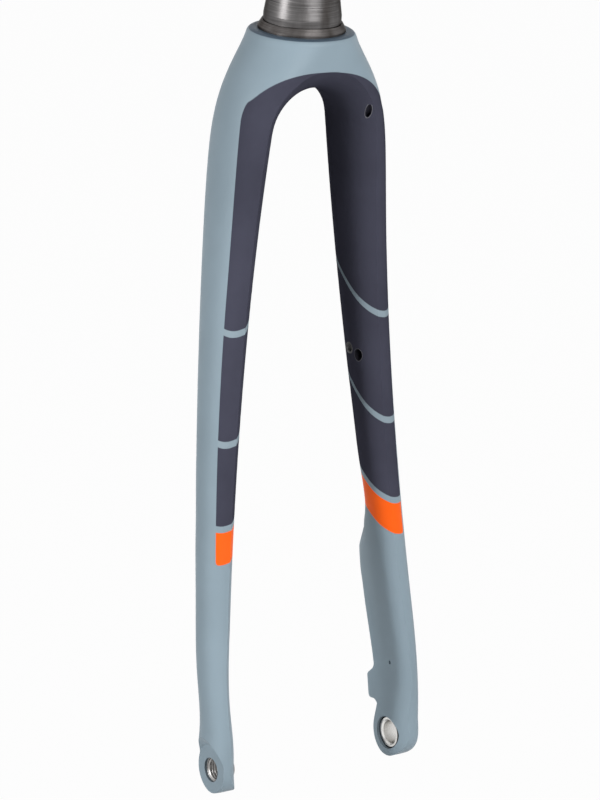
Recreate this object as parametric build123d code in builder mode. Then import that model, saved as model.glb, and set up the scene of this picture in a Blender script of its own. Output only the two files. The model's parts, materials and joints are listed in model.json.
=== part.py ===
# Rigid bicycle fork: a carbon crown and blades with a bonded steerer and metal fittings.
# Frame in mm: the origin is the centre of the crown race seat, +Z runs up the steerer,
# -Y is the direction of travel and +X is the disc brake side.
import os
from math import cos, exp, pi, radians, sin, sqrt, tan

from build123d import *

os.makedirs("parts", exist_ok=True)

# Fork geometry
AXLE_TO_CROWN = 378.0
RAKE = 49.5
HUB_WIDTH = 100.0
BOND = 0.1  # clearance of every bonded seat, on the radius

# Steerer and crown race
STEERER_LOW_R = 39.8 / 2
STEERER_TOP_R = 28.6 / 2
STEERER_LENGTH = 300.0
STEERER_WALL_TOP = 2.3
STEERER_WALL_LOW = 3.2
TAPER_START = 8.0
TAPER_END = 46.0
SOCKET_DEPTH = 19.0
DRAIN_BORE_R = 10.0
RACE_R = 45.0 / 2
RACE_TOP_R = 20.7
RACE_BAND = 1.2
RACE_HEIGHT = 4.2

# Crown and blades, seen along the steerer axis
RIM_R = 27.4
RIM_ROUND = 3.2
SHOULDER = 25.0  # depth in which the round crown turns into the two shoulders
SHOULDER_POWER = 1.5
LEG_OUT = 43.6  # outer face of the blade produced up to the crown top
LEG_SPLAY = 0.070
FOOT_OUT = 66.0
LEG_NOSE = 12.0  # reach of the rounded outer side of the blade
LEG_NOSE_TAPER = 0.0148
FOOT_HALF = 11.0  # half depth of the blade above the foot
FOOT_RISE = 33.0  # height above the axle up to which the blade keeps that depth
FOOT_FLARE = 1.6  # by how much the foot is deeper than the blade
FLARE_RISE = 14.0
FOOT_NOSE = 4.0  # reach of the rounded outer side at the axle
FOOT_CORNER = 4.0  # how far the foot's outer face draws in at its round end
BLADE_DEPTH_POWER = 1.9
CROWN_LEAD = 3.0
BEND_START = 40.0
BEND_RISE = 13.0  # height above the axle at which the bend reaches the full rake
BEND_GAIN = 1.07
BEND_POWER = 1.7

# Wheel tunnel: an arch round its own centre, then straight inner faces down to the hub
ARCH_R = 23.0
ARCH_CENTRE = 51.8  # depth of the arch centre below the crown top
KNEE = 335.0  # depth at which the inner faces start to close in on the hub
INNER_LOW = 53.0  # inner face at the knee
CROWNING = 0.5  # how far the inner face falls away at its edges, as a share of the half depth
CROWNING_POWER = 3
SPARE = 8.0  # how far a cutting shape stands clear of the body

# Feet, with their thickness along the axle
DRIVE_FOOT = 10.5
DRIVE_FACET_R = 13.0
DRIVE_COVER = 1.5  # moulding left outside the threaded insert
DISC_FOOT = 14.0
DISC_SPOT_R = 10.0
RECESS_R = 8.8  # shallow seat that locates the hub in the disc side foot
RECESS_DEPTH = 1.8

# Rear flat brake mount: its lower hole, from the axle, and its tilt from the steerer axis
BRAKE_SPACING = 70.0
BRAKE_UP = 19.5
BRAKE_BACK = 21.0
BRAKE_TILT = 13.1
BRAKE_OUT = 58.5  # distance of the holes from the middle plane
MOUNT_HALF = 6.0  # from the holes to the mount's outer side
MOUNT_IN = 51.0  # where the blade's inner face ends at the pads
MOUNT_TOP = 258.0  # depth at which the inner face starts to widen towards the mount
MOUNT_FULL = 284.0
PAD_HALF = 6.6
PAD_SINK = 12.0
PAD_STEP = 6.0
PAD_ROUND = 2.2
NECK_ROUND = 4.0
RELIEF_LOW = 5.6  # depth of the hollow between the pads, at its low end and at its top
RELIEF_TOP = 1.2
RELIEF_RUN = 4.0

# Metal fittings: axle insert and bush, brake mount inserts, mid blade eyelet
BARREL_R = 8.0
AXLE_THREAD_R = 5.25
AXLE_BORE_R = 6.1
AXLE_HOLE_R = 6.4
MOUTH = 0.8
INSERT_R = 4.0
INSERT_LENGTH = 10.0
INSERT_THREAD_R = 2.1
EYELET_R = 3.2
EYELET_LENGTH = 8.0
EYELET_THREAD_R = 2.1
EYELET_DOWN = 171.0
EYELET_BACK = 3.0  # behind the blade's middle line

# Hose passage in the disc side blade, the cable port that joins it, and the drain hole
HOSE_R = 2.8
HOSE_IN_X = 41.3
HOSE_IN_Y = -21.0
HOSE_IN_DOWN = 30.8
HOSE_TURN = 60.0
HOSE_OUT_DOWN = 174.0
HOSE_LEAD = 4.5  # ahead of the blade's middle line
PORT_R = 1.5
PORT_X = 28.6
PORT_Y = -23.1
PORT_DOWN = 40.2
PORT_OVERRUN = 1.25
DRAIN_R = 1.0
DRAIN_UP = 38.2
DRAIN_BACK = 5.3

FOOT_R = FOOT_HALF + FOOT_FLARE
BOTTOM = AXLE_TO_CROWN + 2 * FOOT_R
SECTION_SHARES = [0, 0.02, 0.042, 0.07, 0.105, 0.15]
SECTION_SHARES += [0.2 + 0.06 * step for step in range(12)] + [0.91, 0.955, 0.98, 1]
STATIONS = [AXLE_TO_CROWN * share for share in SECTION_SHARES]
FOOT_ANGLES = [25, 45, 62, 75, 84]
FOOT_STATIONS = [AXLE_TO_CROWN + FOOT_R * sin(radians(angle)) for angle in FOOT_ANGLES]
FAN = [90, 67.5, 45, 22.5, 0, -22.5, -45, -67.5, -90]
CROWN_STEPS = [-1.2, -1.0, -0.8, -0.55, 0, 0.55, 0.8, 1.0, 1.2]
ANGLES = [0, 22, 42, 58, 70, 79, 85, 88.5]
ABOVE = (Align.CENTER, Align.CENTER, Align.MIN)
BELOW = (Align.CENTER, Align.CENTER, Align.MAX)


def fade(s):
    """Share of the round crown left at depth s."""
    return exp(-((s / SHOULDER) ** SHOULDER_POWER))


def smooth(s, start, end):
    """Rises from 0 to 1 between two depths."""
    share = min(1.0, max(0.0, (s - start) / (end - start)))
    return share * share * (3 - 2 * share)


def foot_round(s):
    """Share of the full depth left below the axle, where the foot ends in a half circle."""
    return sqrt(1 - (max(0.0, s - AXLE_TO_CROWN) / FOOT_R) ** 2)


def half_width(s):
    outer = min(FOOT_OUT, LEG_OUT + LEG_SPLAY * s) - (LEG_OUT - RIM_R) * fade(s)
    return outer - FOOT_CORNER * (1 - foot_round(s))


def nose(s):
    blade = LEG_NOSE - LEG_NOSE_TAPER * s + (RIM_R - LEG_NOSE) * fade(s)
    return blade + (FOOT_NOSE - blade) * smooth(s, AXLE_TO_CROWN - FOOT_RISE, AXLE_TO_CROWN)


def blade_depth(s):
    above_foot = max(0.0, 1 - s / (AXLE_TO_CROWN - FOOT_RISE))
    blade = FOOT_HALF + (RIM_R - FOOT_HALF) * above_foot ** BLADE_DEPTH_POWER
    return blade + FOOT_FLARE * smooth(s, AXLE_TO_CROWN - FLARE_RISE, AXLE_TO_CROWN)


def lead(s):
    """How far the blade's middle line lies ahead of the steerer axis."""
    bend = max(0.0, (s - BEND_START) / (AXLE_TO_CROWN - BEND_RISE - BEND_START)) ** BEND_POWER
    return min(RAKE, CROWN_LEAD * (1 - fade(s)) + BEND_GAIN * (RAKE - CROWN_LEAD) * bend)


def section_points(s):
    """Outline at depth s: a circle at the crown top that becomes a stadium across both blades."""
    x, b, yc = half_width(s), blade_depth(s) * foot_round(s), -lead(s)
    reach = nose(s) / x
    quarter = [(x * cos(radians(t)) ** reach, b * sin(radians(t))) for t in ANGLES]
    right = quarter + [(0, b)]
    left = [(-px, py) for px, py in reversed(quarter)]
    upper = right + left
    lower = [(px, -py) for px, py in reversed(upper[1:-1])]
    return [(px, py + yc) for px, py in upper + lower]


def inner_width(s):
    """Half the wheel tunnel at depth s: it opens down to the knee, then closes on the hub."""
    line = ARCH_R + (INNER_LOW - ARCH_R) * (min(s, KNEE) - ARCH_CENTRE) / (KNEE - ARCH_CENTRE)
    close = min(1.0, max(0.0, (s - KNEE) / (AXLE_TO_CROWN - KNEE)))
    return line - (INNER_LOW - HUB_WIDTH / 2) * (1 - cos(pi * close)) / 2


def around_the_wheel():
    """Planes from the disc side foot over the arch to the other foot, with outer reach and inner side."""
    blade = [s for s in STATIONS if s > ARCH_CENTRE + SPARE] + [BOTTOM]
    sides = {}
    for side in (1, -1):
        sides[side] = [(Plane((0, 0, -s), x_dir=(side, 0, 0), z_dir=(0, 0, side)), FOOT_OUT + SPARE,
                        inner_points(inner_width(s), s, side)) for s in blade]
    fan = []
    for angle in FAN:
        t = radians(angle)
        plane = Plane((0, 0, -ARCH_CENTRE), x_dir=(sin(t), 0, cos(t)), z_dir=(-cos(t), 0, sin(t)))
        fan.append((plane, ARCH_CENTRE + SPARE, inner_points(ARCH_R, ARCH_CENTRE - ARCH_R * cos(t), 0)))
    return sides[1][::-1] + fan + sides[-1]


def inner_points(inner, s, side):
    """The inner side of a blade section, crowned so that its edges fall away; it runs out to the brake mount."""
    b, yc = blade_depth(s), -lead(s)
    fall = CROWNING * b
    mount = smooth(s, MOUNT_TOP, MOUNT_FULL) if side > 0 else 0
    rear = b + mount * (pad_line(s) - yc - b)
    rear_fall = fall + mount * (MOUNT_IN - inner - fall)
    front = [(inner + fall * abs(v) ** CROWNING_POWER, yc + v * b) for v in CROWN_STEPS if v <= 0]
    return front + [(inner + rear_fall * v ** CROWNING_POWER, yc + v * rear) for v in CROWN_STEPS if v > 0]


def pad_line(s):
    """Where the plane of the brake pads lies at depth s."""
    return BRAKE_BACK - RAKE + (AXLE_TO_CROWN - BRAKE_UP - s) * tan(radians(BRAKE_TILT))


def blade_core(s):
    """Where the hose runs inside the disc side blade."""
    return Vector(half_width(s) - nose(s), -lead(s) - HOSE_LEAD, -s)


tilt = radians(BRAKE_TILT)
rear = (0, cos(tilt), -sin(tilt))
up_mount = Vector(0, sin(tilt), cos(tilt))
mount_origin = Vector(BRAKE_OUT + MOUNT_HALF, BRAKE_BACK - RAKE, BRAKE_UP - AXLE_TO_CROWN)
mount_plane = Plane(mount_origin, x_dir=up_mount, z_dir=(-1, 0, 0))
lower_hole = mount_origin - Vector(MOUNT_HALF, 0, 0)
insert_planes = [Plane(lower_hole, z_dir=rear), Plane(lower_hole + up_mount * BRAKE_SPACING, z_dir=rear)]
drive_plane = Plane((-HUB_WIDTH / 2, -RAKE, -AXLE_TO_CROWN), z_dir=(1, 0, 0))
disc_plane = Plane((HUB_WIDTH / 2, -RAKE, -AXLE_TO_CROWN), z_dir=(-1, 0, 0))
drain_plane = Plane((HUB_WIDTH / 2, DRAIN_BACK - RAKE, DRAIN_UP - AXLE_TO_CROWN), z_dir=(1, 0, 0))
eyelet_plane = Plane((inner_width(EYELET_DOWN), EYELET_BACK - lead(EYELET_DOWN), -EYELET_DOWN), z_dir=(-1, 0, 0))
hose_turn = blade_core(HOSE_TURN)
hose_in = Vector(HOSE_IN_X, HOSE_IN_Y, -HOSE_IN_DOWN)
hose_bend = blade_core(HOSE_OUT_DOWN) + Vector(0, 0, SPARE)
hose_out = Vector(inner_width(HOSE_OUT_DOWN) - SPARE, hose_bend.Y, -HOSE_OUT_DOWN - SPARE / 2)
port = hose_turn + (Vector(PORT_X, PORT_Y, -PORT_DOWN) - hose_turn) * PORT_OVERRUN
drillings = [(hose_in, hose_turn, HOSE_R), (hose_turn, hose_bend, HOSE_R), (hose_bend, hose_out, HOSE_R),
             (port, hose_turn, PORT_R)]

def at_height(vertex, height):
    return abs(mount_plane.to_local_coords(vertex).Y - height) < BOND


# Rear flat brake mount on the disc side: two pads with a relief between them, cut to the blade's inner face later
with BuildPart() as brake_mount:
    with BuildSketch(mount_plane) as mount_outline:
        with BuildLine():
            Polyline((-2 * PAD_HALF, -PAD_SINK), (-PAD_HALF, -PAD_STEP), (-PAD_HALF, 0), (PAD_HALF, 0),
                     (PAD_HALF + RELIEF_RUN, -RELIEF_LOW), (BRAKE_SPACING - 2 * PAD_HALF, -RELIEF_TOP),
                     (BRAKE_SPACING - PAD_HALF, 0), (BRAKE_SPACING + PAD_HALF, 0),
                     (BRAKE_SPACING + 3 * PAD_HALF, -PAD_SINK), close=True)
        make_face()
        for height, radius in ((-PAD_STEP, NECK_ROUND), (-RELIEF_LOW, NECK_ROUND), (-RELIEF_TOP, NECK_ROUND),
                               (0, PAD_ROUND)):
            fillet(mount_outline.vertices().filter_by(lambda v: at_height(v, height)), radius)
    extrude(amount=4 * MOUNT_HALF)

rings = []
with BuildPart() as fork_body:
    for s in STATIONS + FOOT_STATIONS:
        with BuildSketch(Plane.XY.offset(-s)):
            with BuildLine():
                Spline(*section_points(s), periodic=True)
            make_face()
    loft()
    add(brake_mount.part)
    for plane, outer, face in around_the_wheel():
        with BuildSketch(plane, mode=Mode.PRIVATE) as ring:
            with BuildLine():
                Spline(*face)
                Polyline(face[-1], (outer, face[-1][1]), (outer, face[0][1]), face[0])
            make_face()
        rings.append(ring.sketch)
    loft(rings, mode=Mode.INTERSECT)
    fillet(fork_body.edges().group_by(Axis.Z)[-1], RIM_ROUND)
    # Facet of the drive side foot, spot face and hub recess of the disc side foot
    with Locations(drive_plane.offset(-DRIVE_FOOT)):
        Cone(DRIVE_FACET_R + SPARE, DRIVE_FACET_R, SPARE, align=BELOW, mode=Mode.SUBTRACT)
    with Locations(disc_plane.offset(-DISC_FOOT)):
        Cylinder(DISC_SPOT_R, SPARE, align=BELOW, mode=Mode.SUBTRACT)
    with Locations(disc_plane.offset(-RECESS_DEPTH)):
        Cylinder(RECESS_R, SPARE, align=ABOVE, mode=Mode.SUBTRACT)
    # Seats for the steerer and the metal fittings
    with Locations(Location()):
        Cylinder(STEERER_LOW_R + BOND, SOCKET_DEPTH, align=BELOW, mode=Mode.SUBTRACT)
        Cylinder(DRAIN_BORE_R, 2 * ARCH_CENTRE, mode=Mode.SUBTRACT)
    with Locations(drive_plane):
        Cylinder(BARREL_R + BOND, DRIVE_FOOT - DRIVE_COVER, align=BELOW, mode=Mode.SUBTRACT)
        Cylinder(AXLE_HOLE_R, 4 * DRIVE_FOOT, mode=Mode.SUBTRACT)
    with Locations(disc_plane):
        Cylinder(BARREL_R + BOND, 4 * DISC_FOOT, mode=Mode.SUBTRACT)
    with Locations(*[plane.offset(SPARE) for plane in insert_planes]):
        Cylinder(INSERT_R + BOND, INSERT_LENGTH + SPARE, align=BELOW, mode=Mode.SUBTRACT)
    with Locations(eyelet_plane.offset(SPARE)):
        Cylinder(EYELET_R + BOND, EYELET_LENGTH + SPARE, align=BELOW, mode=Mode.SUBTRACT)
    # Hose passage with its cable port, and the drain hole in the foot
    for start, end, radius in drillings:
        run = end - start
        with Locations(Plane(start, z_dir=run)):
            Cylinder(radius, run.length, align=ABOVE, mode=Mode.SUBTRACT)
        with Locations(Location(start)):
            Sphere(radius, mode=Mode.SUBTRACT)
    with Locations(drain_plane):
        Cylinder(DRAIN_R, FOOT_R, mode=Mode.SUBTRACT)

with BuildPart() as steerer_tube:
    with BuildSketch(Plane.XZ):
        with BuildLine():
            Polyline((STEERER_LOW_R - STEERER_WALL_LOW, -SOCKET_DEPTH), (STEERER_LOW_R, -SOCKET_DEPTH),
                     (STEERER_LOW_R, TAPER_START), (STEERER_TOP_R, TAPER_END), (STEERER_TOP_R, STEERER_LENGTH),
                     (STEERER_TOP_R - STEERER_WALL_TOP, STEERER_LENGTH),
                     (STEERER_TOP_R - STEERER_WALL_TOP, TAPER_END),
                     (STEERER_LOW_R - STEERER_WALL_LOW, TAPER_START), close=True)
        make_face()
    revolve(axis=Axis.Z)

with BuildPart() as crown_race:
    with BuildSketch(Plane.XZ):
        with BuildLine():
            Polyline((STEERER_LOW_R + BOND, 0), (RACE_R, 0), (RACE_R, RACE_BAND), (RACE_TOP_R, RACE_HEIGHT),
                     (STEERER_LOW_R + BOND, RACE_HEIGHT), close=True)
        make_face()
    revolve(axis=Axis.Z)

with BuildPart() as axle_insert:
    with Locations(drive_plane):
        Cylinder(BARREL_R, DRIVE_FOOT - DRIVE_COVER, align=BELOW)
        Cylinder(AXLE_THREAD_R, 4 * DRIVE_FOOT, mode=Mode.SUBTRACT)
    chamfer(axle_insert.edges().filter_by(GeomType.CIRCLE).sort_by(SortBy.RADIUS)[:2], MOUTH)

with BuildPart() as axle_bush:
    with Locations(disc_plane.offset(-RECESS_DEPTH)):
        Cylinder(BARREL_R, DISC_FOOT - RECESS_DEPTH, align=BELOW)
        Cylinder(AXLE_BORE_R, 4 * DISC_FOOT, mode=Mode.SUBTRACT)
    chamfer(axle_bush.edges().filter_by(GeomType.CIRCLE).sort_by(SortBy.RADIUS)[:2], MOUTH)

with BuildPart() as brake_insert_lower:
    with Locations(insert_planes[0]):
        Cylinder(INSERT_R, INSERT_LENGTH, align=BELOW)
        Cylinder(INSERT_THREAD_R, 4 * INSERT_LENGTH, mode=Mode.SUBTRACT)

with BuildPart() as brake_insert_upper:
    with Locations(insert_planes[1]):
        Cylinder(INSERT_R, INSERT_LENGTH, align=BELOW)
        Cylinder(INSERT_THREAD_R, 4 * INSERT_LENGTH, mode=Mode.SUBTRACT)

with BuildPart() as leg_eyelet:
    with Locations(eyelet_plane):
        Cylinder(EYELET_R, EYELET_LENGTH, align=BELOW)
        Cylinder(EYELET_THREAD_R, 4 * EYELET_LENGTH, mode=Mode.SUBTRACT)

fork_body.part.label = "fork_body"
steerer_tube.part.label = "steerer_tube"
crown_race.part.label = "crown_race"
axle_insert.part.label = "axle_insert"
axle_bush.part.label = "axle_bush"
brake_insert_lower.part.label = "brake_insert_lower"
brake_insert_upper.part.label = "brake_insert_upper"
leg_eyelet.part.label = "leg_eyelet"

export_step(fork_body.part, "parts/fork_body.step")
export_step(steerer_tube.part, "parts/steerer_tube.step")
export_step(crown_race.part, "parts/crown_race.step")
export_step(axle_insert.part, "parts/axle_insert.step")
export_step(axle_bush.part, "parts/axle_bush.step")
export_step(brake_insert_lower.part, "parts/brake_insert_lower.step")
export_step(brake_insert_upper.part, "parts/brake_insert_upper.step")
export_step(leg_eyelet.part, "parts/leg_eyelet.step")
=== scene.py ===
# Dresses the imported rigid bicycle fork: paint, machined metal, threads, studio light and camera.
import json
import math

import bpy
from mathutils import Matrix, Vector


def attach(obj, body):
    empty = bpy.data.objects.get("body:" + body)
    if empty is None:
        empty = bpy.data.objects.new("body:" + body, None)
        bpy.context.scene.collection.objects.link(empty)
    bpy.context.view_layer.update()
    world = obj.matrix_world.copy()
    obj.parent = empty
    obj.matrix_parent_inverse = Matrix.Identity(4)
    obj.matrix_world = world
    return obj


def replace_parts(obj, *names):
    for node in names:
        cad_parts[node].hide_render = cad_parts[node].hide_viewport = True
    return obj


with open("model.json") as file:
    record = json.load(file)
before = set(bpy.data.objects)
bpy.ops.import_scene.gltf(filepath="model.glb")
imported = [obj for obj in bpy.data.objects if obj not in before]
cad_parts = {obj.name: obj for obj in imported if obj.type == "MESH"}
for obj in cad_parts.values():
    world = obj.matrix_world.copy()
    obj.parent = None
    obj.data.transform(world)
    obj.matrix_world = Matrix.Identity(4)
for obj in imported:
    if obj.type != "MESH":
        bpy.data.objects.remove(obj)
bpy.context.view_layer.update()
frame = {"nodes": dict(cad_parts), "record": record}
mounts = {m["name"]: m for m in frame["record"]["mounts"]}

MM = 0.001
WHITE = (1.0, 1.0, 1.0, 1.0)

# Camera, from the photograph's perspective, for an image of 600 by 800; angles in degrees, lengths in m
CAMERA_AZIMUTH = -34.48
CAMERA_ELEVATION = 18.61
CAMERA_ROLL = 3.78
CAMERA_DISTANCE = 1.891
CAMERA_TARGET = Vector((0.0003, -0.020, -0.1924))
LENS = 164.2

# Studio: each light's azimuth, elevation, distance and size in m, and watts
LIGHTS = {
    "side": (-94.0, 12.0, 2.4, 0.8, 27.0),
    "front": (-1.0, 28.0, 2.2, 1.2, 41.0),
}
AMBIENT = 0.03
FLOOR_LEVEL = -0.80
FLOOR_SIZE = 30.0
FLOOR_COLOUR = (0.70, 0.70, 0.70, 1.0)
FLOOR_GLOW = 0.975  # the rest of the floor's look is its shading, which keeps the shadow

# Colours, linear
SKY = (0.300, 0.385, 0.445)
STRIPE = (0.320, 0.400, 0.455)
CHARCOAL = (0.068, 0.069, 0.098)
ORANGE = (1.000, 0.128, 0.008)
ORANGE_PAINTED_GLOW = 0.14  # painted glow: the orange patches emit a little light of their own, for the brightness of the fluorescent orange
PRIMER = (0.230, 0.230, 0.250)
# Painted shade: the crown's top ledge is coloured darker, in place of the shade that falls on it
LEDGE_SHADE = (0.075, 0.108, 0.145)
# Painted shade: bare moulding coloured near black for the drilled walls and the axle recess and hole
BARE_AND_SHADE = (0.014, 0.013, 0.015)
TARNISH = (0.034, 0.028, 0.024)

# The coat's fine variation: scales of its noise, and how far it lightens and darkens the colours
NOISE_RANGE = (0.3, 0.7)
CLOUD_SCALE = 28.0
GLOSS_SCALE = 90.0
GRAIN_SCALE = 1400.0
GRAIN_HEIGHT = 0.02 * MM
SKY_CLOUD = 0.04
CHARCOAL_CLOUD = 0.1
COAT_ROUGHNESS = (0.40, 0.48)
COAT_SHINE = 0.15  # the dark field has none, so that it stays dark at its edges

# Colour fields in mm: depth below the crown top, distance from the middle plane
SOFT_EDGE = 0.15
LEDGE_DEPTH = 0.8  # the crown's top ring, painted darker than its sides as painted shade on its upward-facing ledge
ARCH_DEPTH = 60.0
ARCH_HALF = 45.0
ARCH_RISE = 43.5
ARCH_POWER = 2.45
ARCH_TILT = 0.06
ARCH_OPEN = 30.0  # from this depth on the arch opens out, by this share of the square of the way
ARCH_SPREAD = 0.02
CORNER_LIMIT = 28.6  # edge of the field round the blade's front corner, as distance plus position to the rear
CORNER_FALL = 0.0005
CORNER_FALL_FROM = 130.0
BLADE_MIDDLE = 31.5  # the field's rear edge runs down the middle of the blade
BLADE_SPLAY = 0.075
FIELD_CORNER = 4.5  # rounds the corner between the arch and the blade's field
STRIPE_HALF = 1.7  # half height of a stripe at the blade's front, and how fast it narrows to the rear
STRIPE_TAPER = 0.022
STRIPE_LEAST = 0.8
ORANGE_GAP = 3.2
ORANGE_CORNER = 1.7
BAND_SLANT = 0.4  # rise of a band per mm towards the wheel
BAND_REACH = 20.0
BAND_POWER = 1.25
BAND_BEND = 4.0  # how gently a band turns at the blade's corner
BAND_SETTLE = 0.2  # share of that bend taken off again, so that the band keeps its height
# Each band: depth at the blade's front, its front corner in y and distance, and its climb to the rear
UPPER_STRIPE = (150.2, -26.2, 46.0, 13.5)
LOWER_STRIPE = (207.2, -32.0, 50.0, 13.5)
FIELD_END = (248.6, -38.0, 53.0, 9.5)
ORANGE_END = (268.5, -41.2, 55.0, 9.5)

# Drilled openings with a rim of bare primer and walls of bare moulding darkened by painted shade: a point on
# the axis, the axis and the radius, in mm
PORT = ((28.6, -23.1, -40.2), (0.27, 0.58, -0.77), 1.5)
HOSE_EXIT = ((36.0, -18.5, -172.8), (-0.84, 0.0, -0.55), 2.8)
RIM_START = 0.05
RIM_WIDTH = 0.35
RIM_REACH = 3.0  # a drilling is marked no further than this many radii from its point

# Unpainted moulding round the axle, coloured near black as bare moulding darkened by painted shade: the hub
# recess of the disc side foot, the hole of the drive side foot
AXLE_Y = -49.5
AXLE_DEPTH = 378.0
RECESS_R = 8.8
HOLE_R = 6.4

# Metals: dark and light tone, least roughness, density and stretch of the tool lines, share of brown streaks
LINES_ROUND_X = (3.0, 0.3, 0.3)
METALS = {
    "fitting_metal": ((0.30, 0.295, 0.29), (0.52, 0.51, 0.50), 0.26, 900.0, LINES_ROUND_X, 0.35),
    "eyelet_metal": ((0.050, 0.050, 0.052), (0.160, 0.158, 0.160), 0.28, 900.0, LINES_ROUND_X, 0.35),
    "bush_metal": ((0.62, 0.61, 0.59), (0.88, 0.87, 0.85), 0.24, 900.0, LINES_ROUND_X, 0.25),
    "steerer_metal": ((0.060, 0.057, 0.057), (0.175, 0.170, 0.170), 0.27, 700.0, (0.06, 0.06, 3.0), 0.8),
    "race_metal": ((0.055, 0.050, 0.049), (0.170, 0.160, 0.156), 0.26, 900.0, (0.05, 0.05, 3.0), 0.7),
}
STAIN_SCALE = 55.0
STREAK_SCALE = 85.0
STREAK_STRETCH = 0.2
LINE_HEIGHT = 0.06 * MM
LINE_ROUGHNESS = 0.14
EDGE_TINT = (0.45, 0.45, 0.45, 1.0)

# Threaded inserts in mm: mount, outer radius, length, thread's outer radius, pitch, mouth, bevel, and metal
INSERTS = {
    "axle_insert": ("axle_thread", 8.0, 9.0, 6.05, 1.5, 0.8, 1.7, "fitting_metal"),
    "brake_insert_lower": ("brake_lower", 4.0, 10.0, 2.5, 0.8, 0.5, 0.2, "fitting_metal"),
    "brake_insert_upper": ("brake_upper", 4.0, 10.0, 2.5, 0.8, 0.5, 0.2, "fitting_metal"),
    "leg_eyelet": ("eyelet", 3.2, 8.0, 2.5, 0.8, 0.4, 0.2, "eyelet_metal"),
}
AROUND = 72
PER_PITCH = 10
FLANK = 1.6  # steepness of the thread's flanks, and how much of the pitch stays as a crest
CREST = 0.3
MOUTH_FLARE = 1.2
BEVEL_LENGTH = 1.4  # length of a bevel along the axis, as a multiple of its depth


class Tree:
    """Short forms for building a node tree as formulas."""

    def __init__(self, tree):
        self.tree = tree

    def node(self, kind, **values):
        made = self.tree.nodes.new(kind)
        for key, value in values.items():
            setattr(made, key, value)
        return made

    def link(self, source, socket):
        """Joins an output to a socket, or sets the socket to a plain value."""
        if hasattr(source, "is_output"):
            self.tree.links.new(source, socket)
        else:
            socket.default_value = source

    def math(self, operation, *values):
        made = self.node("ShaderNodeMath", operation=operation)
        for value, socket in zip(values, made.inputs):
            self.link(value, socket)
        return made.outputs[0]

    def ramp(self, value, low, high, to_low=0.0, to_high=1.0):
        made = self.node("ShaderNodeMapRange", clamp=True)
        for source, socket in zip((value, low, high, to_low, to_high), made.inputs):
            self.link(source, socket)
        return made.outputs[0]

    def seen(self):
        """1 for rays that show the background: to the camera, in mirrors and through glass."""
        path = self.node("ShaderNodeLightPath").outputs
        mirrored = self.math("MAXIMUM", path["Is Glossy Ray"], path["Is Transmission Ray"])
        return self.math("MAXIMUM", path["Is Camera Ray"], mirrored)


class Surface(Tree):
    """A material's node tree, with its shader and the object's own coordinates."""

    def __init__(self, name):
        self.material = bpy.data.materials.new(name)
        self.material.use_nodes = True
        super().__init__(self.material.node_tree)
        self.shader = self.tree.nodes["Principled BSDF"]
        self.place = self.node("ShaderNodeTexCoord").outputs["Object"]

    def mix(self, share, first, second):
        """Mixes two colours; 6, 7 and 2 are the colour sockets of the mix node."""
        made = self.node("ShaderNodeMix", data_type="RGBA")
        self.link(share, made.inputs["Factor"])
        for colour, socket in ((first, made.inputs[6]), (second, made.inputs[7])):
            self.link((*colour, 1.0) if isinstance(colour, tuple) else colour, socket)
        return made.outputs[2]

    def varied(self, share, colour, spread):
        """A colour that runs from a little darker to a little lighter."""
        darker, lighter = (tuple(level * c for c in colour) for level in (1.0 - spread, 1.0 + spread))
        return self.mix(share, darker, lighter)

    def stretched(self, scale):
        made = self.node("ShaderNodeMapping")
        self.link(self.place, made.inputs["Vector"])
        made.inputs["Scale"].default_value = scale
        return made.outputs["Vector"]

    def noise(self, scale, detail, vector=None):
        made = self.node("ShaderNodeTexNoise")
        self.link(self.place if vector is None else vector, made.inputs["Vector"])
        made.inputs["Scale"].default_value = scale
        made.inputs["Detail"].default_value = detail
        return made.outputs[0]

    def bump(self, height, distance, strength):
        made = self.node("ShaderNodeBump")
        self.link(height, made.inputs["Height"])
        made.inputs["Distance"].default_value = distance
        made.inputs["Strength"].default_value = strength
        self.link(made.outputs[0], self.shader.inputs["Normal"])


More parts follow.
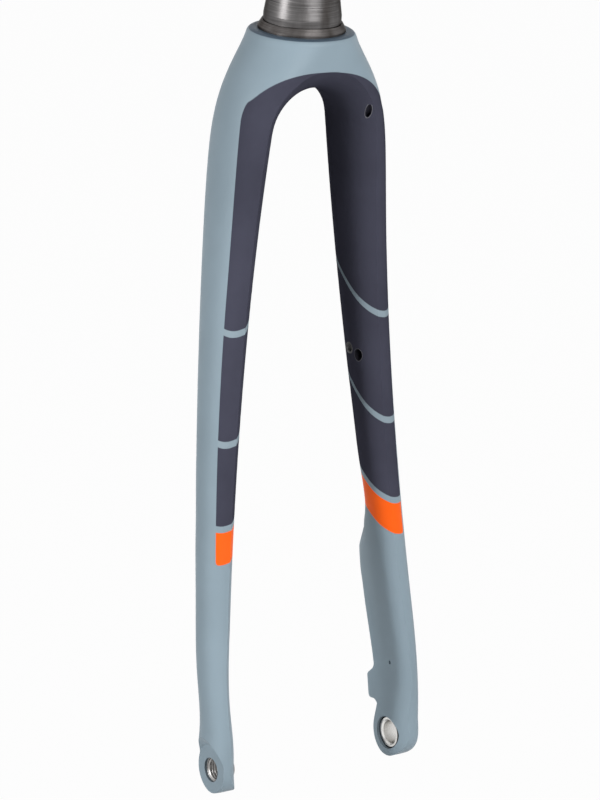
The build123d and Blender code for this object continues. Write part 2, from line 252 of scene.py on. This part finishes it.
class Paint(Surface):
    """The coat's own coordinates in mm, and the shapes of its colour fields as signed distances."""

    def __init__(self, name):
        super().__init__(name)
        split = self.node("ShaderNodeSeparateXYZ")
        self.link(self.place, split.inputs[0])
        self.side = self.math("MULTIPLY", split.outputs["X"], 1.0 / MM)
        self.across = self.math("ABSOLUTE", self.side)
        self.back = self.math("MULTIPLY", split.outputs["Y"], 1.0 / MM)
        self.depth = self.math("MULTIPLY", split.outputs["Z"], -1.0 / MM)

    def mask(self, distance):
        return self.ramp(distance, -SOFT_EDGE, SOFT_EDGE)

    def square(self, value):
        return self.math("POWER", value, 2.0)

    def over(self, value, edge):
        """How far a value lies over an edge, and 0 below it."""
        return self.math("MAXIMUM", self.math("SUBTRACT", value, edge), 0.0)

    def past(self, value, edge):
        """How far a value lies past an edge, turning gently from 0."""
        way = self.math("SUBTRACT", value, edge)
        root = self.math("SQRT", self.math("ADD", self.square(way), BAND_BEND ** 2))
        gentle = self.math("MULTIPLY", self.math("ADD", way, root), 0.5)
        return self.math("SUBTRACT", gentle, BAND_SETTLE * BAND_BEND)

    def rounded(self, first, second, radius):
        """The overlap of two shapes, with the corner between their edges rounded."""
        squares = [self.square(self.over(radius, distance)) for distance in (first, second)]
        return self.math("SUBTRACT", radius, self.math("SQRT", self.math("ADD", *squares)))

    def arch(self):
        """Inside a superellipse over the wheel, which opens out further down."""
        tilted = self.math("SUBTRACT", self.depth, self.math("MULTIPLY", self.side, ARCH_TILT))
        above = self.over(ARCH_DEPTH, tilted)
        wide = self.math("POWER", self.math("DIVIDE", self.across, ARCH_HALF), ARCH_POWER)
        tall = self.math("POWER", self.math("DIVIDE", above, ARCH_RISE), ARCH_POWER)
        ring = self.math("POWER", self.math("ADD", wide, tall), 1.0 / ARCH_POWER)
        inside = self.math("MULTIPLY", self.math("SUBTRACT", 1.0, ring), ARCH_RISE)
        opened = self.math("MULTIPLY", self.square(self.over(tilted, ARCH_OPEN)), ARCH_SPREAD)
        return self.math("ADD", inside, opened)

    def blade(self):
        """Inside the blade's front corner, or on the wheel side of the blade's middle."""
        fall = self.math("MULTIPLY", self.square(self.over(self.depth, CORNER_FALL_FROM)), CORNER_FALL)
        limit = self.math("SUBTRACT", CORNER_LIMIT, fall)
        corner = self.math("SUBTRACT", limit, self.math("ADD", self.across, self.back))
        middle = self.math("ADD", BLADE_MIDDLE, self.math("MULTIPLY", self.depth, BLADE_SPLAY))
        return self.math("MAXIMUM", corner, self.math("SUBTRACT", middle, self.across))

    def below(self, start, front, middle, reach):
        """Depth below a slanted band: lowest at the blade's front, it climbs inwards and to the rear."""
        inwards = self.past(self.math("MULTIPLY", self.across, -1.0), -middle)
        behind = self.math("MAXIMUM", self.past(self.back, front), 0.0)
        bend = self.math("POWER", self.math("DIVIDE", behind, BAND_REACH), BAND_POWER)
        slant = self.math("MULTIPLY", inwards, BAND_SLANT)
        lift = self.math("ADD", slant, self.math("MULTIPLY", bend, reach))
        return self.math("SUBTRACT", self.math("ADD", self.depth, lift), start)

    def stripe(self, band):
        """A thin stripe along a band, narrower to the rear."""
        front = band[1]
        narrowed = self.math("MULTIPLY", self.past(self.back, front), STRIPE_TAPER)
        half = self.math("MAXIMUM", self.math("SUBTRACT", STRIPE_HALF, narrowed), STRIPE_LEAST)
        return self.mask(self.math("SUBTRACT", half, self.math("ABSOLUTE", self.below(*band))))

    def distance(self, point):
        made = self.node("ShaderNodeVectorMath", operation="DISTANCE")
        self.link(self.place, made.inputs[0])
        made.inputs[1].default_value = [v * MM for v in point]
        return self.math("MULTIPLY", made.outputs["Value"], 1.0 / MM)

    def drilled(self, point, axis, radius):
        """The wall of a drilling, coloured as bare moulding darkened by painted shade, and the narrow ring of
        the surface round it.
        """
        offset = self.node("ShaderNodeVectorMath", operation="SUBTRACT")
        self.link(self.place, offset.inputs[0])
        offset.inputs[1].default_value = [v * MM for v in point]
        across = self.node("ShaderNodeVectorMath", operation="CROSS_PRODUCT")
        self.link(offset.outputs["Vector"], across.inputs[0])
        across.inputs[1].default_value = Vector(axis).normalized()
        length = self.node("ShaderNodeVectorMath", operation="LENGTH")
        self.link(across.outputs["Vector"], length.inputs[0])
        from_axis = self.math("MULTIPLY", length.outputs["Value"], 1.0 / MM)
        near = self.math("LESS_THAN", self.distance(point), RIM_REACH * radius)
        wall = self.mask(self.math("SUBTRACT", radius + RIM_START, from_axis))
        from_ring = self.math("SUBTRACT", from_axis, radius + RIM_WIDTH / 2 + RIM_START)
        ring = self.math("SUBTRACT", RIM_WIDTH / 2, self.math("ABSOLUTE", from_ring))
        rim = self.ramp(ring, 0.0, SOFT_EDGE)
        return self.math("MULTIPLY", near, wall), self.math("MULTIPLY", near, rim)

    def axle_seats(self):
        """1 in the foot's recess and hole, where no paint lies and painted shade darkens the bare moulding.
        """
        behind = self.math("SUBTRACT", self.back, AXLE_Y)
        low = self.math("SUBTRACT", self.depth, AXLE_DEPTH)
        from_axle = self.math("SQRT", self.math("ADD", self.square(behind), self.square(low)))
        limit = self.ramp(self.side, -1.0, 1.0, HOLE_R, RECESS_R)
        return self.mask(self.math("SUBTRACT", limit, from_axle))


def paint():
    """The satin coat with its dark field, stripes and orange patches with a painted glow, painted shade on
    the crown's top ledge, and bare moulding in the holes darkened by painted shade.
    """
    n = Paint("satin_paint")
    inside = n.rounded(n.arch(), n.blade(), FIELD_CORNER)
    past_end = n.below(*FIELD_END)
    dark = n.math("MULTIPLY", n.mask(inside), n.mask(n.math("MULTIPLY", past_end, -1.0)))
    stripes = n.math("MAXIMUM", n.stripe(UPPER_STRIPE), n.stripe(LOWER_STRIPE))
    before_orange_end = n.math("MULTIPLY", n.below(*ORANGE_END), -1.0)
    patch = n.math("MULTIPLY", n.mask(n.math("SUBTRACT", past_end, ORANGE_GAP)),
                   n.mask(n.rounded(before_orange_end, inside, ORANGE_CORNER)))
    ledge_shade = n.mask(n.math("SUBTRACT", LEDGE_DEPTH, n.depth))
    shaded_walls, rims = (n.math("MAXIMUM", *pair) for pair in zip(n.drilled(*PORT), n.drilled(*HOSE_EXIT)))
    # Faint cloudiness in the coat, then the fields over it
    cloud = n.ramp(n.noise(CLOUD_SCALE, 3.0), *NOISE_RANGE)
    charcoal = n.varied(cloud, CHARCOAL, CHARCOAL_CLOUD)
    colour = n.mix(dark, n.varied(cloud, SKY, SKY_CLOUD), n.mix(stripes, charcoal, STRIPE))
    colour = n.mix(patch, colour, ORANGE)
    # Painted shade: the darker colour on the crown's top ledge
    colour = n.mix(ledge_shade, colour, LEDGE_SHADE)
    colour = n.mix(rims, colour, PRIMER)
    # Painted shade: the drilled walls and the axle recess and hole are coloured near-black bare moulding
    colour = n.mix(n.math("MAXIMUM", shaded_walls, n.axle_seats()), colour, BARE_AND_SHADE)
    gloss = n.ramp(n.noise(GLOSS_SCALE, 4.0), *NOISE_RANGE, *COAT_ROUGHNESS)
    n.link(colour, n.shader.inputs["Base Color"])
    n.link(gloss, n.shader.inputs["Roughness"])
    n.link(n.ramp(dark, 0.0, 1.0, COAT_SHINE, 0.0), n.shader.inputs["Specular IOR Level"])
    # Painted glow: the orange patches emit a little light of their own
    n.link((*ORANGE, 1.0), n.shader.inputs["Emission Color"])
    n.link(n.math("MULTIPLY", patch, ORANGE_PAINTED_GLOW), n.shader.inputs["Emission Strength"])
    n.bump(n.noise(GRAIN_SCALE, 2.0), GRAIN_HEIGHT, 0.35)
    return n.material


def turned_metal(name, base, tint, roughness, lines, axis_scale, tarnished):
    """Machined metal: fine tool lines round one axis, with stains and brown streaks along that axis."""
    n = Surface(name)
    rings = n.noise(lines, 3.0, n.stretched(axis_scale))
    stains = n.noise(STAIN_SCALE, 5.0)
    share = n.math("ADD", n.math("MULTIPLY", n.ramp(rings, *NOISE_RANGE), 0.6),
                   n.math("MULTIPLY", n.ramp(stains, 0.35, 0.7), 0.4))
    along = tuple(STREAK_STRETCH if scale > 1.0 else 1.0 for scale in axis_scale)
    streaks = n.ramp(n.noise(STREAK_SCALE, 5.0, n.stretched(along)), 0.42, 0.66)
    colour = n.mix(n.math("MULTIPLY", streaks, tarnished), n.mix(share, base, tint), TARNISH)
    gloss = n.ramp(rings, *NOISE_RANGE, roughness, roughness + LINE_ROUGHNESS)
    n.link(colour, n.shader.inputs["Base Color"])
    n.link(gloss, n.shader.inputs["Roughness"])
    n.link(1.0, n.shader.inputs["Metallic"])
    n.link(EDGE_TINT, n.shader.inputs["Specular Tint"])
    n.bump(rings, LINE_HEIGHT, 0.5)
    return n.material


def ring(radii, along):
    """Points round the Z axis at one height, in m, from a radius in mm for each."""
    angles = [2 * math.pi * i / AROUND for i in range(AROUND)]
    return [Vector((r * math.cos(a), r * math.sin(a), along)) * MM for r, a in zip(radii, angles)]


def thread_cut(phase):
    """Depth of the thread, from 0 on the crest to 1 in the groove, for a phase counted in pitches."""
    return min(1.0, max(0.0, FLANK * (1.0 - abs(2.0 * (phase % 1.0) - 1.0)) - CREST))


def threaded_insert(name, mount, outer_r, length, root_r, pitch, mouth, bevel, material):
    """A closed sleeve with a real helical thread and a bevelled far end, in place of the plain CAD insert."""
    crest_r = mount["dims"]["r_mm"]
    steps = int(length / pitch * PER_PITCH)
    rings = []
    for j in range(steps + 1):
        along = length * j / steps
        from_end = max(0.0, mouth - along, mouth - (length - along))
        flare = min(1.0, from_end / mouth * MOUTH_FLARE)
        cuts = [max(flare, thread_cut(along / pitch - i / AROUND)) for i in range(AROUND)]
        rings.append(ring([crest_r + (root_r - crest_r) * cut for cut in cuts], along - length / 2))
    # The outside, from the bevelled end back to the start
    rings.append(ring([outer_r - bevel] * AROUND, length / 2))
    rings.append(ring([outer_r] * AROUND, length / 2 - BEVEL_LENGTH * bevel))
    rings.append(ring([outer_r] * AROUND, -length / 2))
    faces = []
    for j in range(len(rings)):
        a, b = j * AROUND, (j + 1) % len(rings) * AROUND
        for i in range(AROUND):
            k = (i + 1) % AROUND
            faces.append((a + i, b + i, b + k, a + k))
    axis = Vector(mount["axis"]).normalized()
    place = Matrix.Translation(Vector(mount["pos_m"])) @ axis.to_track_quat("Z", "X").to_matrix().to_4x4()
    mesh = bpy.data.meshes.new(name)
    mesh.from_pydata([place @ point for points in rings for point in points], [], faces)
    mesh.materials.append(material)
    for face in mesh.polygons:
        face.use_smooth = True
    made = bpy.data.objects.new(name, mesh)
    bpy.context.collection.objects.link(made)
    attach(made, "root")
    return made


def direction(azimuth, elevation):
    """Away from the fork, in degrees; azimuth 0 is in front, positive towards the disc side."""
    a, e = math.radians(azimuth), math.radians(elevation)
    return Vector((math.sin(a) * math.cos(e), -math.cos(a) * math.cos(e), math.sin(e)))


def pale_stage():
    """A white floor well below the hanging fork."""
    bpy.ops.mesh.primitive_plane_add(size=FLOOR_SIZE, location=(0.0, 0.0, FLOOR_LEVEL))
    floor = bpy.context.object
    floor.name = "floor"
    n = Surface("pale_floor")
    n.link(FLOOR_COLOUR, n.shader.inputs["Base Color"])
    n.link(0.9, n.shader.inputs["Roughness"])
    glow = n.node("ShaderNodeEmission")
    n.link(WHITE, glow.inputs["Color"])
    blend = n.node("ShaderNodeMixShader")
    n.link(n.math("MULTIPLY", n.seen(), FLOOR_GLOW), blend.inputs[0])
    n.link(n.shader.outputs[0], blend.inputs[1])
    n.link(glow.outputs[0], blend.inputs[2])
    n.link(blend.outputs[0], n.tree.nodes["Material Output"].inputs["Surface"])
    floor.data.materials.append(n.material)


def world_light(strength):
    """A white surround for camera and mirror rays, which lights the fork only a little."""
    world = bpy.data.worlds.new("studio")
    world.use_nodes = True
    bpy.context.scene.world = world
    n = Tree(world.node_tree)
    background = n.tree.nodes["Background"]
    n.link(WHITE, background.inputs["Color"])
    n.link(n.ramp(n.seen(), 0.0, 1.0, strength, 1.0), background.inputs["Strength"])


def soft_light(name, azimuth, elevation, distance, size, energy):
    """A square softbox aimed at the fork."""
    data = bpy.data.lights.new(name, "AREA")
    data.size = size
    data.energy = energy
    lamp = bpy.data.objects.new(name, data)
    bpy.context.collection.objects.link(lamp)
    away = direction(azimuth, elevation)
    lamp.location = CAMERA_TARGET + away * distance
    lamp.rotation_euler = away.to_track_quat("Z", "Y").to_euler()


def camera():
    """The photograph's view."""
    data = bpy.data.cameras.new("camera")
    data.lens = LENS
    data.clip_start, data.clip_end = 0.05, 60.0
    made = bpy.data.objects.new("camera", data)
    bpy.context.collection.objects.link(made)
    away = direction(CAMERA_AZIMUTH, CAMERA_ELEVATION)
    roll = Matrix.Rotation(math.radians(CAMERA_ROLL), 3, "Z").to_quaternion()
    made.location = CAMERA_TARGET + away * CAMERA_DISTANCE
    made.rotation_euler = (away.to_track_quat("Z", "Y") @ roll).to_euler()
    bpy.context.scene.camera = made


def dress(node, material):
    """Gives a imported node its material."""
    frame["nodes"][node].data.materials.clear()
    frame["nodes"][node].data.materials.append(material)


metals = {name: turned_metal(name, *values) for name, values in METALS.items()}
dress("fork_body", paint())
dress("steerer_tube", metals["steerer_metal"])
dress("crown_race", metals["race_metal"])
dress("axle_bush", metals["bush_metal"])
for node, (mount_name, *sizes, metal) in INSERTS.items():
    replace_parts(threaded_insert(node + "_threaded", mounts[mount_name], *sizes, metals[metal]), node)

pale_stage()
world_light(AMBIENT)
for light, values in LIGHTS.items():
    soft_light(light, *values)
camera()
bpy.context.scene.view_settings.view_transform = "Standard"
